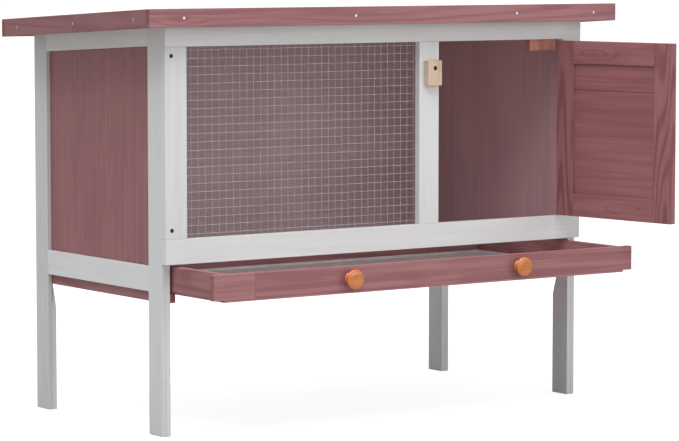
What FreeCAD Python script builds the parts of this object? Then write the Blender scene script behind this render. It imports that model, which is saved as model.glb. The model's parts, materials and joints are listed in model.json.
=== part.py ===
"""Small raised rabbit hutch: a framed wooden cabin on four legs, with a sloping roof,
a wire window, a hinged door held by a turn button, and a slide-out tray that is its floor.

Model axes: X to the right, Y to the rear, Z up. Millimetres. While it is built, X = 0 is the
middle of the width, Y = 0 the front face of the front frame and Z = 0 the ground. At export
everything moves so that the origin is the centre of the bottom of the bounding box.
"""
import FreeCAD, Part
import math
import os

V = FreeCAD.Vector

# ---- overall sizes -------------------------------------------------------------------
roof_width = 900.0
roof_depth = 450.0
roof_front_height = 650.0      # ground to the top of the front fascia
roof_fall = 23.0               # how much lower the rear edge of the roof is
front_overhang = 33.0          # roof edge in front of the front frame
rear_overhang = 21.0           # roof edge behind the rear legs
side_overhang = 47.0           # roof edge beyond the legs, each side

# ---- timber stock --------------------------------------------------------------------
strip_width = 38.5             # face width of every frame strip
front_frame_t = 12.0
side_frame_t = 7.5             # outer planks of the legs and the side rails
batten_t = 7.5                 # inner planks of the legs, panels and runner boards
edge_radius = 0.7              # sanded corner of the strips
joint_gap = 0.05               # paint-thin gap where fixed pieces meet

# ---- heights -------------------------------------------------------------------------
front_frame_bottom = 263.0
front_top_rail_h = 40.7
side_rail_lift = 16.0          # lower side rail above the underside of the runner board
runner_board_h = 40.0
leg_taper_h = 38.5             # over which the inner leg plank narrows, below the runner
panel_lap = 11.0               # panel edge hidden behind the leg plank

# ---- front frame ---------------------------------------------------------------------
mullion_center_x = 91.8
stop_block_width = 53.0
stop_block_t = 11.0
stop_block_show = 18.5         # how far the stop reaches down into the door opening
stop_block_offset = 5.5        # from the hinge side of the opening

# ---- roof ----------------------------------------------------------------------------
fascia_h = 28.0
fascia_t = 11.0
felt_t = 1.6
felt_recess = 1.4              # felt lies this far below the top of the fascia
deck_t = 12.0
deck_board_count = 4
deck_board_gap = 1.0
nail_head_r = 2.6
nail_head_t = 0.8
nail_shank_r = 1.2
nail_length = 25.0
nails_from_left = (61.0, 376.0)
nails_from_right = (206.0, 46.0)
side_nails_from_front = (47.0, 226.0)
side_nail_from_rear = 48.0
nail_drop = 14.5               # below the top of the fascia

# ---- wire mesh -----------------------------------------------------------------------
mesh_pitch = 12.7
mesh_wire = 1.1
mesh_lap = 14.0                # beyond the window on each side
staple_pitch = 76.0
staple_width = 9.0
staple_wire = 1.2
staple_leg = 6.0
staple_inset = 7.0             # from the window edge

# ---- door ----------------------------------------------------------------------------
door_gap = 2.0
door_strip = 37.0
door_panel_t = 6.0
door_panel_recess = 3.0        # from the inner face of the door
door_tongue = 5.0              # panel edge held in the groove
door_top_board = 43.0          # how much of the panel's top board shows
door_groove = 1.0
door_rest_deg = 97.0           # how far the door stands open as modelled

# ---- hinges --------------------------------------------------------------------------
hinge_h = 32.0
hinge_from_end = 14.0
hinge_leaf_w = 15.0
hinge_leaf_t = 1.2
knuckle_r = 2.5
knuckle_gap = 0.4
hinge_axis_out = 3.0           # in front of the frame face
hinge_pin_r = 1.0
pin_clearance = 0.05
hinge_screw_r = 1.2
hinge_screw_head_r = 2.6
hinge_screw_head_t = 0.9
hinge_screw_length = 9.0

# ---- turn button ---------------------------------------------------------------------
button_w = 27.0
button_l = 40.0
button_t = 11.0
button_top_to_pivot = 12.3
button_offset = 3.7            # pivot to the right of the mullion's middle
button_pivot_below_window_top = 42.0
button_clearance = 0.3
button_screw_r = 1.9
button_screw_fit = 0.08
button_screw_head_r = 3.4
button_screw_head_t = 2.2
button_screw_depth = 10.0      # in the mullion

# ---- tray ----------------------------------------------------------------------------
tray_out = 133.5               # how far the tray stands out as modelled
tray_leg_gap = 0.5             # from the closed front board to the legs
tray_back_gap = 2.0            # from the closed tray to the back panel
tray_top_gap = 3.85            # from the tray to the front frame above it
tray_side_gap = 3.5            # to the inner leg planks, each side
tray_board_t = 11.5
tray_board_h = 38.5
tray_bottom_t = 3.0
tray_slide_gap = 0.35
tray_liner_t = 0.8
liner_gap = 1.0
ledge_width = 10.5
ledge_h = 13.8
ledge_front_inset = 2.0
knob_places_x = {"left": -157.0, "right": 170.0}
knob_profile = ((10.0, 0.0), (10.0, 1.2), (7.8, 3.6), (7.8, 6.0), (11.5, 8.0), (15.0, 10.6),
                (15.0, 13.8), (12.0, 16.2), (0.0, 17.0))
knob_screw_r = 2.0
knob_screw_head_r = 4.0
knob_screw_head_t = 2.0
knob_screw_bite = 10.0         # depth in the knob

# ---- frame screws --------------------------------------------------------------------
frame_screw_r = 1.6
frame_screw_head_r = 3.3
frame_screw_head_t = 2.0
frame_screw_sink = 0.3         # heads lie this far below the frame's face
frame_screw_length = 38.0
frame_screw_from_ends = 13.5   # above and below the window
fastener_fit = 0.1             # radial room round every fixed screw, nail and staple leg

# ---- values worked out from the sizes above -------------------------------------------
half_roof = roof_width / 2.0
half_body = half_roof - side_overhang
body_depth = roof_depth - front_overhang - rear_overhang
plank_x = half_body - side_frame_t          # inner face of the outer planks
batten_x = plank_x - batten_t               # inner face of the inner planks
door_t = front_frame_t
window_left = -half_body + strip_width
mullion_left = mullion_center_x - strip_width / 2.0
mullion_right = mullion_center_x + strip_width / 2.0
door_open_right = half_body - strip_width
roof_slope = roof_fall / roof_depth
roof_front_y = -front_overhang
roof_rear_y = roof_front_y + roof_depth
roof_build = felt_recess + felt_t + deck_t  # from the fascia top to the underside of the deck
front_rail_top = roof_front_height - roof_slope * (front_overhang + front_frame_t) - roof_build
window_top = front_rail_top - front_top_rail_h
window_bottom = front_frame_bottom + strip_width
leg_front_y = front_frame_t
leg_front_end_y = leg_front_y + strip_width
leg_rear_start_y = body_depth - strip_width
panel_front_y = leg_front_end_y - panel_lap
panel_rear_y = leg_rear_start_y + panel_lap
rear_rail_y = body_depth - side_frame_t
back_panel_y = rear_rail_y - batten_t
tray_board_z = front_frame_bottom - tray_top_gap - tray_board_h
tray_floor_z = tray_board_z - tray_bottom_t
ledge_top = tray_floor_z - tray_slide_gap
runner_bottom = ledge_top - ledge_h
runner_top = runner_bottom + runner_board_h
side_rail_bottom = runner_bottom + side_rail_lift
leg_taper_start = runner_bottom - leg_taper_h
tray_half = batten_x - tray_side_gap
tray_closed_y = leg_front_y - tray_leg_gap - tray_board_t
tray_depth = back_panel_y - tray_back_gap - tray_closed_y
tray_front_y = tray_closed_y - tray_out
frame_screw_x = plank_x - batten_t / 2.0
button_pivot_x = mullion_center_x + button_offset
button_pivot_z = window_top - button_pivot_below_window_top
door_left = mullion_right + door_gap
door_right = door_open_right - door_gap
door_bottom = window_bottom + door_gap
door_top = window_top - door_gap
hinge_x = door_open_right - door_gap / 2.0
mesh_room_x = mullion_left - window_left + 2 * mesh_lap - mesh_wire
mesh_room_z = window_top - window_bottom + 2 * mesh_lap - mesh_wire
mesh_columns = int(mesh_room_x // mesh_pitch)
mesh_rows = int(mesh_room_z // mesh_pitch)
mesh_x = (window_left + mullion_left - mesh_columns * mesh_pitch) / 2.0
mesh_z = (window_bottom + window_top - mesh_rows * mesh_pitch) / 2.0


def roof_top(y):
    """Height of the roof's top plane at depth y."""
    return roof_front_height - roof_slope * (y - roof_front_y)


def roof_under(y):
    """Height of the underside of the roof deck at depth y."""
    return roof_top(y) - roof_build


def box(x0, x1, y0, y1, z0, z1):
    return Part.makeBox(x1 - x0, y1 - y0, z1 - z0, V(x0, y0, z0))


def soften(shape, radius=edge_radius):
    """The same piece with every straight edge sanded round."""
    return shape.makeFillet(radius, shape.Edges)


def strip(x0, x1, y0, y1, z0, z1):
    """A sanded wooden strip, a paint-thin gap short on every face."""
    g = joint_gap
    return soften(box(x0 + g, x1 - g, y0 + g, y1 - g, z0 + g, z1 - g))


def prism_x(points_yz, x0, x1):
    """A solid whose Y-Z outline is carried from x0 to x1."""
    loop = [V(x0, y, z) for y, z in points_yz]
    face = Part.Face(Part.makePolygon(loop + [loop[0]]))
    return face.extrude(V(x1 - x0, 0, 0))


def sloped_slab(x0, x1, y0, y1, down0, down1):
    """A slab parallel to the roof, between two distances below the roof's top plane."""
    outline = ((y0, roof_top(y0) - down1), (y1, roof_top(y1) - down1),
               (y1, roof_top(y1) - down0), (y0, roof_top(y0) - down0))
    return prism_x(outline, x0, x1)


def rod_y(x, z, y0, y1, r):
    return Part.makeCylinder(r, y1 - y0, V(x, y0, z), V(0, 1, 0))


def rod_x(y, z, x0, x1, r):
    return Part.makeCylinder(r, x1 - x0, V(x0, y, z), V(1, 0, 0))


def cut_all(shape, tools):
    for tool in tools:
        if shape.BoundBox.intersect(tool.BoundBox):
            shape = shape.cut(tool)
    return shape


def sided(side, inner, outer):
    """The X span between two distances from the middle, on the left (-1) or right (+1)."""
    return (inner, outer) if side > 0 else (-outer, -inner)


# ---- fasteners: each maker returns (solids, the holes they need) -----------------------

def headed_screw(tip, direction, length, r, head_r, head_t, room):
    """A straight screw with a flat head; tip is where the head's outer face lies."""
    head = Part.makeCylinder(head_r, head_t, tip, direction)
    shank = Part.makeCylinder(r, length, tip, direction)
    hole = Part.makeCylinder(r + room, length + room, tip, direction)
    seat = Part.makeCylinder(head_r + room, head_t, tip, direction)
    return head.fuse(shank).removeSplitter(), hole.fuse(seat)


def make_fascia_nails():
    nails, holes = [], []

    def add(x, y, dx, dy):
        z = roof_top(y) - nail_drop
        nail, hole = headed_screw(V(x, y, z), V(dx, dy, 0), nail_length, nail_shank_r,
                                  nail_head_r, nail_head_t, fastener_fit)
        nails.append(nail)
        holes.append(hole)

    front_x = [d - half_roof for d in nails_from_left]
    front_x += [half_roof - d for d in nails_from_right]
    for x in front_x:
        add(x, roof_front_y, 0, 1)
        add(x, roof_rear_y, 0, -1)
    side_y = [roof_front_y + d for d in side_nails_from_front]
    side_y.append(roof_rear_y - side_nail_from_rear)
    for y in side_y:
        add(-half_roof, y, 1, 0)
        add(half_roof, y, -1, 0)
    return nails, holes


def make_frame_screws():
    screws, holes = [], []
    for side in (-1, 1):
        for z in (window_top - frame_screw_from_ends, window_bottom + frame_screw_from_ends):
            x = side * frame_screw_x
            screw, hole = headed_screw(V(x, frame_screw_sink, z), V(0, 1, 0),
                                       frame_screw_length, frame_screw_r,
                                       frame_screw_head_r, frame_screw_head_t, fastener_fit)
            screws.append(screw)
            holes.append(hole)
            holes.append(rod_y(x, z, -frame_screw_sink, frame_screw_sink,
                               frame_screw_head_r + fastener_fit))
    return screws, holes


def nearest_wire(value, start):
    """The middle of the mesh wire nearest to a place, along one direction of the grid."""
    return start + round((value - start) / mesh_pitch) * mesh_pitch


def nearest_cell(value, start):
    """The middle of the mesh opening nearest to a place, along one direction."""
    half = mesh_pitch / 2.0
    return nearest_wire(value - half, start) + half


def staple_spots():
    """Middle of each staple's crown, which straddles a wire, and whether it runs along X."""
    spots = []
    span_x = mullion_left - window_left
    span_z = window_top - window_bottom
    count_x = int(span_x // staple_pitch) + 1
    count_z = int(span_z // staple_pitch) + 1
    for i in range(count_x):
        x = nearest_wire(window_left + (i + 0.5) * span_x / count_x, mesh_x)
        spots.append((x, nearest_cell(window_top + staple_inset, mesh_z), True))
        spots.append((x, nearest_cell(window_bottom - staple_inset, mesh_z), True))
    for i in range(count_z):
        z = nearest_wire(window_bottom + (i + 0.5) * span_z / count_z, mesh_z)
        spots.append((nearest_cell(window_left - staple_inset, mesh_x), z, False))
        spots.append((nearest_cell(mullion_left + staple_inset, mesh_x), z, False))
    return spots


def make_mesh_staples():
    """U-shaped staples whose legs go through the mesh into the back of the frame."""
    staples, holes = [], []
    w = staple_wire
    crown_y = front_frame_t + mesh_wire + joint_gap * 2
    half = staple_width / 2.0
    for x, z, along_x in staple_spots():
        dx, dz = (half, w / 2.0) if along_x else (w / 2.0, half)
        body = box(x - dx, x + dx, crown_y, crown_y + w, z - dz, z + dz)
        for s in (-1, 1):
            lx = x + s * (half - w / 2.0) if along_x else x
            lz = z if along_x else z + s * (half - w / 2.0)
            leg = box(lx - w / 2.0, lx + w / 2.0, front_frame_t - staple_leg, crown_y + w,
                      lz - w / 2.0, lz + w / 2.0)
            body = body.fuse(leg)
            c = w / 2.0 + fastener_fit
            holes.append(box(lx - c, lx + c, front_frame_t - staple_leg - fastener_fit,
                             crown_y, lz - c, lz + c))
        staples.append(body.removeSplitter())
    return staples, holes


# ---- front frame ---------------------------------------------------------------------

def make_front_frame(holes):
    """Two rails that run the full width, with two stiles and a mullion between them."""
    t = front_frame_t
    pieces = {
        "front_bottom_rail": strip(-half_body, half_body, 0, t, front_frame_bottom,
                                   window_bottom),
        "front_top_rail": strip(-half_body, half_body, 0, t, window_top, front_rail_top),
        "front_stile_left": strip(-half_body, window_left, 0, t, window_bottom, window_top),
        "front_stile_right": strip(door_open_right, half_body, 0, t, window_bottom,
                                   window_top),
        "front_mullion": strip(mullion_left, mullion_right, 0, t, window_bottom, window_top),
    }
    return {name: cut_all(shape, holes) for name, shape in pieces.items()}


def make_door_stop():
    """The block behind the top rail that the closed door rests against."""
    x1 = door_open_right - stop_block_offset
    y0 = front_frame_t
    return strip(x1 - stop_block_width, x1, y0, y0 + stop_block_t,
                 window_top - stop_block_show, roof_under(y0 + stop_block_t))


def make_wire_mesh():
    """A flat grid of square openings between wires, a little larger than the window."""
    y = front_frame_t + joint_gap
    half = mesh_wire / 2.0

    def loop(ax, az, bx, bz):
        corners = [V(ax, y, az), V(bx, y, az), V(bx, y, bz), V(ax, y, bz), V(ax, y, az)]
        return Part.makePolygon(corners)

    end_x = mesh_x + mesh_columns * mesh_pitch
    end_z = mesh_z + mesh_rows * mesh_pitch
    loops = [loop(mesh_x - half, mesh_z - half, end_x + half, end_z + half)]
    opening = mesh_pitch - mesh_wire
    for i in range(mesh_columns):
        for k in range(mesh_rows):
            ax = mesh_x + i * mesh_pitch + half
            az = mesh_z + k * mesh_pitch + half
            loops.append(loop(ax, az + opening, ax + opening, az))
    return Part.Face(loops).extrude(V(0, mesh_wire, 0))


# ---- legs, side frames, panels and runners ---------------------------------------------

def make_leg(side, rear):
    """The outer plank of a leg, from the ground to the underside of the roof."""
    x0, x1 = sided(side, plank_x, half_body)
    y0 = leg_rear_start_y if rear else leg_front_y
    y1 = y0 + strip_width
    g = joint_gap
    outline = ((y0 + g, 0), (y1 - g, 0), (y1 - g, roof_under(y1) - g),
               (y0 + g, roof_under(y0) - g))
    return soften(prism_x(outline, x0 + g, x1 - g))


def make_leg_batten(side, rear):
    """The inner plank of a leg: full width at the foot, narrower above so panels lap."""
    x0, x1 = sided(side, batten_x, plank_x)
    g = joint_gap
    top_z = runner_bottom
    if rear:
        outer, inner, inner_top = body_depth - g, leg_rear_start_y + g, panel_rear_y + g
    else:
        outer, inner, inner_top = leg_front_y + g, leg_front_end_y - g, panel_front_y - g
    outline = ((outer, 0), (inner, 0), (inner, leg_taper_start), (inner_top, top_z),
               (inner_top, roof_under(inner_top) - g), (outer, roof_under(outer) - g))
    return soften(prism_x(outline, x0 + g, x1 - g))


def make_side_rails(side):
    x0, x1 = sided(side, plank_x, half_body)
    y0, y1, g = leg_front_end_y, leg_rear_start_y, joint_gap
    bottom = strip(x0, x1, y0, y1, side_rail_bottom, side_rail_bottom + strip_width)
    under = roof_build + g
    top = soften(sloped_slab(x0 + g, x1 - g, y0 + g, y1 - g, under, under + strip_width))
    return top, bottom


def make_side_panel(side):
    x0, x1 = sided(side, batten_x, plank_x)
    g = joint_gap
    y0, y1 = panel_front_y + g, panel_rear_y - g
    outline = ((y0, runner_top + g), (y1, runner_top + g), (y1, roof_under(y1) - g),
               (y0, roof_under(y0) - g))
    return prism_x(outline, x0 + g, x1 - g)


def make_runner(side):
    """The board below the side panel and the ledge the tray slides on."""
    x0, x1 = sided(side, batten_x, plank_x)
    board = strip(x0, x1, panel_front_y, panel_rear_y, runner_bottom, runner_top)
    lx0, lx1 = sided(side, batten_x - ledge_width, batten_x)
    ledge = strip(lx0, lx1, leg_front_y + ledge_front_inset, back_panel_y, runner_bottom,
                  ledge_top)
    return board, ledge


def make_back(holes):
    """The rear panel and the two white rails behind it."""
    g = joint_gap
    y0, y1 = back_panel_y + g, rear_rail_y - g
    outline = ((y0, side_rail_bottom), (y1, side_rail_bottom), (y1, roof_under(y1) - g),
               (y0, roof_under(y0) - g))
    panel = prism_x(outline, -batten_x + g, batten_x - g)
    top_z = roof_under(body_depth)
    top = strip(-batten_x, batten_x, rear_rail_y, body_depth, top_z - strip_width, top_z)
    bottom = strip(-batten_x, batten_x, rear_rail_y, body_depth, side_rail_bottom,
                   side_rail_bottom + strip_width)
    pieces = {"back_panel": panel, "back_top_rail": top, "back_bottom_rail": bottom}
    return {name: cut_all(shape, holes) for name, shape in pieces.items()}


# ---- roof ----------------------------------------------------------------------------

def make_roof(holes):
    g = joint_gap
    inner_x = half_roof - fascia_t
    y0, y1 = roof_front_y + fascia_t, roof_rear_y - fascia_t
    pieces = {
        "roof_fascia_front": soften(sloped_slab(-half_roof, half_roof, roof_front_y,
                                                y0 - g, 0, fascia_h)),
        "roof_fascia_rear": soften(sloped_slab(-half_roof, half_roof, y1 + g,
                                               roof_rear_y, 0, fascia_h)),
        "roof_fascia_left": soften(sloped_slab(-half_roof, -inner_x - g, y0 + g, y1 - g,
                                               0, fascia_h)),
        "roof_fascia_right": soften(sloped_slab(inner_x + g, half_roof, y0 + g, y1 - g,
                                                0, fascia_h)),
        "roof_felt": sloped_slab(-inner_x + g, inner_x - g, y0 + g, y1 - g, felt_recess,
                                 felt_recess + felt_t - g),
    }
    pitch = (y1 - y0) / deck_board_count
    boards = []
    for i in range(deck_board_count):
        a = y0 + i * pitch + deck_board_gap / 2.0
        b = a + pitch - deck_board_gap
        boards.append(sloped_slab(-inner_x + g, inner_x - g, a, b, roof_build - deck_t,
                                  roof_build))
    pieces["roof_boards"] = Part.Compound([cut_all(b, holes) for b in boards])
    for name in ("front", "rear", "left", "right"):
        pieces["roof_fascia_" + name] = cut_all(pieces["roof_fascia_" + name], holes)
    return pieces


# ---- door, built closed ------------------------------------------------------------------

def make_door(holes):
    """Two stiles, two rails and a panel of two level boards held in their grooves."""
    x0, x1, z0, z1, w = door_left, door_right, door_bottom, door_top, door_strip
    g = joint_gap
    inner_face = door_t
    p1 = inner_face - door_panel_recess
    p0 = p1 - door_panel_t
    tongue = door_tongue
    groove = box(x0 + w - tongue - g, x1 - w + tongue + g, p0 - g, p1 + g,
                 z0 + w - tongue - g, z1 - w + tongue + g)
    pieces = {
        "door_stile_latch": strip(x0, x0 + w, 0, door_t, z0, z1).cut(groove),
        "door_stile_hinge": cut_all(strip(x1 - w, x1, 0, door_t, z0, z1).cut(groove), holes),
        "door_rail_top": strip(x0 + w, x1 - w, 0, door_t, z1 - w, z1).cut(groove),
        "door_rail_bottom": strip(x0 + w, x1 - w, 0, door_t, z0, z0 + w).cut(groove),
    }
    px0, px1 = x0 + w - tongue, x1 - w + tongue
    pz0, pz1 = z0 + w - tongue, z1 - w + tongue
    panel = box(px0, px1, p0, p1, pz0, pz1)
    seam_z = z1 - w - door_top_board
    for y in (p0, p1):
        cutter = box(px0, px1, y - door_groove, y + door_groove, -door_groove, door_groove)
        cutter.rotate(V(0, y, 0), V(1, 0, 0), 45)
        cutter.translate(V(0, 0, seam_z))
        panel = panel.cut(cutter)
    pieces["door_panel"] = panel
    return pieces


def hinge_spans():
    """Bottom height of the upper and the lower hinge."""
    return (door_top - hinge_from_end - hinge_h, door_bottom + hinge_from_end)


def knuckle(z0, z1):
    solid = Part.makeCylinder(knuckle_r, z1 - z0, V(hinge_x, -hinge_axis_out, z0))
    bore = Part.makeCylinder(hinge_pin_r + pin_clearance, z1 - z0,
                             V(hinge_x, -hinge_axis_out, z0))
    return solid.cut(bore)


def make_hinge_leaf(z0, side):
    """A leaf on the stile (+1, end knuckles) or on the door (-1, middle knuckle)."""
    third = hinge_h / 3.0
    reach = door_gap / 2.0 - joint_gap
    x0 = hinge_x + side * reach * 0.4
    x1 = hinge_x + side * hinge_leaf_w
    leaf = box(min(x0, x1), max(x0, x1), -hinge_leaf_t, 0, z0, z0 + hinge_h)
    if side > 0:
        notch = (z0 + third - knuckle_gap, z0 + 2 * third + knuckle_gap)
        spans = ((z0, z0 + third - knuckle_gap), (z0 + 2 * third + knuckle_gap, z0 + hinge_h))
        leaf = leaf.cut(box(x0 - 1, hinge_x + knuckle_r, -5, 1, notch[0], notch[1]))
    else:
        spans = ((z0 + third, z0 + 2 * third),)
        for a, b in ((z0 - 1, z0 + third), (z0 + 2 * third, z0 + hinge_h + 1)):
            leaf = leaf.cut(box(hinge_x - knuckle_r, x0 + 1, -5, 1, a, b))
    bore = Part.makeCylinder(hinge_pin_r + pin_clearance, hinge_h,
                             V(hinge_x, -hinge_axis_out, z0))
    for a, b in spans:
        leaf = leaf.fuse(knuckle(a, b))
    return leaf.cut(bore).removeSplitter()


def hinge_screws(side):
    """Screws through one side's leaves, and the holes in wood and leaf."""
    screws, holes = [], []
    for z0 in hinge_spans():
        for k in (0.22, 0.78):
            x = hinge_x + side * hinge_leaf_w * 0.62
            tip = V(x, -hinge_leaf_t - hinge_screw_head_t, z0 + k * hinge_h)
            screw, hole = headed_screw(tip, V(0, 1, 0), hinge_screw_length, hinge_screw_r,
                                       hinge_screw_head_r, hinge_screw_head_t, fastener_fit)
            screws.append(screw)
            holes.append(hole)
    return screws, holes


def make_hinge_pins():
    pins = []
    for z0 in hinge_spans():
        pins.append(Part.makeCylinder(hinge_pin_r, hinge_h, V(hinge_x, -hinge_axis_out, z0)))
    return Part.Compound(pins)


# ---- turn button -----------------------------------------------------------------------

def make_turn_button():
    """The wooden button, and the screw in the mullion that it turns on."""
    x, z = button_pivot_x, button_pivot_z
    y1 = -button_clearance
    y0 = y1 - button_t
    z1 = z + button_top_to_pivot
    body = soften(box(x - button_w / 2.0, x + button_w / 2.0, y0, y1, z1 - button_l, z1), 1.0)
    bore = rod_y(x, z, y0, y1, button_screw_r + button_screw_fit)
    seat_depth = button_screw_head_t + button_clearance * 2
    seat = rod_y(x, z, y0, y0 + seat_depth, button_screw_head_r + button_clearance)
    body = body.cut(bore).cut(seat)
    shank = rod_y(x, z, y0 + button_clearance, button_screw_depth, button_screw_r)
    head_y = y0 + button_clearance
    head = rod_y(x, z, head_y, head_y + button_screw_head_t, button_screw_head_r)
    hole = rod_y(x, z, -1.0, button_screw_depth + fastener_fit, button_screw_r + fastener_fit)
    return body, head.fuse(shank).removeSplitter(), hole


# ---- tray ------------------------------------------------------------------------------

def make_knob_screw(x, z, y_inner):
    """A screw from inside the tray through the front board into a knob."""
    length = knob_screw_head_t + tray_board_t + knob_screw_bite
    tip = V(x, y_inner + knob_screw_head_t, z)
    return headed_screw(tip, V(0, -1, 0), length, knob_screw_r, knob_screw_head_r,
                        knob_screw_head_t, fastener_fit)


def make_knob(x, z, y_face, hole):
    """A turned knob: its profile spins about the Y axis through its middle."""
    points = [V(x + r, y_face - joint_gap - d, z) for r, d in knob_profile]
    edges = [Part.LineSegment(V(x, points[0].y, z), points[0]).toShape()]
    edges.append(Part.makePolygon(points[0:4]))
    head = Part.BSplineCurve()
    head.interpolate(points[3:])
    edges.append(head.toShape())
    edges.append(Part.LineSegment(points[-1], V(x, points[0].y, z)).toShape())
    outline = []
    for e in edges:
        outline.extend(e.Edges)
    face = Part.Face(Part.Wire(Part.__sortEdges__(outline)))
    solid = face.revolve(V(x, 0, z), V(0, 1, 0), 360)
    return solid.cut(hole)


def make_tray():
    y0 = tray_front_y
    y1 = y0 + tray_depth
    t, g = tray_board_t, joint_gap
    z0 = tray_board_z
    z1 = z0 + tray_board_h
    inner_y = y0 + t
    screws, knobs, holes = [], {}, []
    mid_z = (z0 + z1) / 2.0
    for name, x in knob_places_x.items():
        screw, hole = make_knob_screw(x, mid_z, inner_y)
        screws.append(screw)
        holes.append(hole)
        knobs["tray_knob_" + name] = make_knob(x, mid_z, y0, hole)
    front = cut_all(strip(-half_body, half_body, y0, inner_y, z0, z1), holes)
    pieces = {
        "tray_front_board": front,
        "tray_back_board": strip(-tray_half + t, tray_half - t, y1 - t, y1, z0, z1),
        "tray_side_left": strip(-tray_half, -tray_half + t, inner_y, y1, z0, z1),
        "tray_side_right": strip(tray_half - t, tray_half, inner_y, y1, z0, z1),
        "tray_bottom": box(-tray_half, tray_half, y0 + g, y1, tray_floor_z, z0),
        "tray_liner": box(-tray_half + t + liner_gap, tray_half - t - liner_gap,
                          inner_y + liner_gap, y1 - t - liner_gap, z0 + g,
                          z0 + g + tray_liner_t),
        "knob_screws": Part.Compound(screws),
    }
    pieces.update(knobs)
    return pieces


# ---- the whole hutch -------------------------------------------------------------------

def open_door(shape):
    """Swing a door piece from closed to the way the door stands as modelled."""
    turned = shape.copy()
    turned.rotate(V(hinge_x, -hinge_axis_out, 0), V(0, 0, 1), door_rest_deg)
    return turned


def make_hutch():
    nodes = {}
    nails, nail_holes = make_fascia_nails()
    frame_screws, frame_holes = make_frame_screws()
    staples, staple_holes = make_mesh_staples()
    button, button_screw, button_hole = make_turn_button()
    stile_screws, stile_holes = hinge_screws(1)
    leaf_screws, leaf_holes = hinge_screws(-1)
    nodes.update(make_front_frame(frame_holes + staple_holes + [button_hole] + stile_holes))
    nodes["wire_mesh"] = make_wire_mesh()
    nodes["mesh_staples"] = Part.Compound(staples)
    nodes["front_frame_screws"] = Part.Compound(frame_screws)
    nodes["door_stop_block"] = make_door_stop()
    for side, name in ((-1, "left"), (1, "right")):
        for rear, end in ((False, "front"), (True, "rear")):
            leg, batten = make_leg(side, rear), make_leg_batten(side, rear)
            nodes["leg_%s_%s" % (end, name)] = cut_all(leg, nail_holes)
            nodes["leg_batten_%s_%s" % (end, name)] = cut_all(batten,
                                                               frame_holes + nail_holes)
        top, bottom = make_side_rails(side)
        nodes["side_top_rail_" + name] = top
        nodes["side_bottom_rail_" + name] = bottom
        nodes["side_panel_" + name] = make_side_panel(side)
        board, ledge = make_runner(side)
        nodes["tray_runner_" + name] = board
        nodes["tray_ledge_" + name] = ledge
    nodes.update(make_back(nail_holes))
    nodes.update(make_roof(nail_holes))
    nodes["fascia_nails"] = Part.Compound(nails)
    nodes["turn_button"] = button
    nodes["turn_button_screw"] = button_screw
    stile_leaves = [cut_all(make_hinge_leaf(z, 1), stile_holes) for z in hinge_spans()]
    nodes["hinge_leaves_frame"] = Part.Compound(stile_leaves)
    nodes["hinge_screws_frame"] = Part.Compound(stile_screws)
    nodes["hinge_pins"] = make_hinge_pins()
    door = make_door(leaf_holes)
    door_leaves = [cut_all(make_hinge_leaf(z, -1), leaf_holes) for z in hinge_spans()]
    door["hinge_leaves_door"] = Part.Compound(door_leaves)
    door["hinge_screws_door"] = Part.Compound(leaf_screws)
    nodes.update({name: open_door(shape) for name, shape in door.items()})
    nodes.update(make_tray())
    return nodes


def main():
    nodes = make_hutch()
    bounds = Part.Compound(list(nodes.values())).BoundBox
    shift = V(-bounds.Center.x, -bounds.Center.y, -bounds.ZMin)
    os.makedirs("parts", exist_ok=True)
    for name, shape in nodes.items():
        placed = shape.copy()
        placed.translate(shift)
        if not placed.isValid():
            raise ValueError("not a valid shape: " + name)
        placed.exportStep("parts/%s.step" % name)
    print(len(nodes), "nodes; size", round(bounds.XLength, 2), round(bounds.YLength, 2),
          round(bounds.ZLength, 2), "shift", [round(c, 3) for c in shift])


main()
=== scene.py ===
"""Rabbit hutch: stained and painted timber, welded wire, screws, nails, knobs and roof felt
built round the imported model, with a pale floor and soft light. Lengths are in metres."""
import json
import math

import bpy
import numpy as np
from bpy.props import FloatProperty, FloatVectorProperty, PointerProperty
from mathutils import Matrix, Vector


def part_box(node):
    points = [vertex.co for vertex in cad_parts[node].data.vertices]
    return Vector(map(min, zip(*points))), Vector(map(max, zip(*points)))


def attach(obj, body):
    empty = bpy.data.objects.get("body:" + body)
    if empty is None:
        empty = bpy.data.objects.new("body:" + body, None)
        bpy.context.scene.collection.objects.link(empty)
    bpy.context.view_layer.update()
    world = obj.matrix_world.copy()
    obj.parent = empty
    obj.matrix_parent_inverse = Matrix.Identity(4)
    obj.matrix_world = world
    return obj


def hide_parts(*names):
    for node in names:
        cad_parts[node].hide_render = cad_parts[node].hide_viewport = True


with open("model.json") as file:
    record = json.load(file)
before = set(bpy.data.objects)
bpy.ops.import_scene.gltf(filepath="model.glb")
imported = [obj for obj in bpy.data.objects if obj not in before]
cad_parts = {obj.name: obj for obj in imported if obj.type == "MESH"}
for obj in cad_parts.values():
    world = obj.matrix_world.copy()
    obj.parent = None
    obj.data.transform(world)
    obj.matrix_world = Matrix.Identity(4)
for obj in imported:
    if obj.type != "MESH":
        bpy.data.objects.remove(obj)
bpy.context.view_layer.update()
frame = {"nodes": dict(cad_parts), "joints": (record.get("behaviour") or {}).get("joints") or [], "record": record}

bl_info = {
    "name": "Rabbit Hutch Finishes",
    "version": (1, 0, 0),
    "blender": (4, 5, 0),
    "location": "3D View > Sidebar > Hutch",
    "description": "Timber, paint, wire and fastenings for a raised rabbit hutch",
    "category": "Object",
}

MM = 0.001
SAME_PLACE = 1e-6        # points closer than this are one corner
SAME_END = 1e-5          # points this close to an end belong to it


# ---- sizes and colours a user would change ----

def size(name, description, millimetres):
    return FloatProperty(name=name, description=description, default=millimetres * MM,
                         min=0.0, unit="LENGTH", subtype="DISTANCE")


def share(name, description, value):
    return FloatProperty(name=name, description=description, default=value, min=0.0,
                         max=1.0, subtype="FACTOR")


def colour(name, description, red, green, blue):
    return FloatVectorProperty(name=name, description=description, subtype="COLOR", size=3,
                               min=0.0, max=4.0, default=(red, green, blue))


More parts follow.
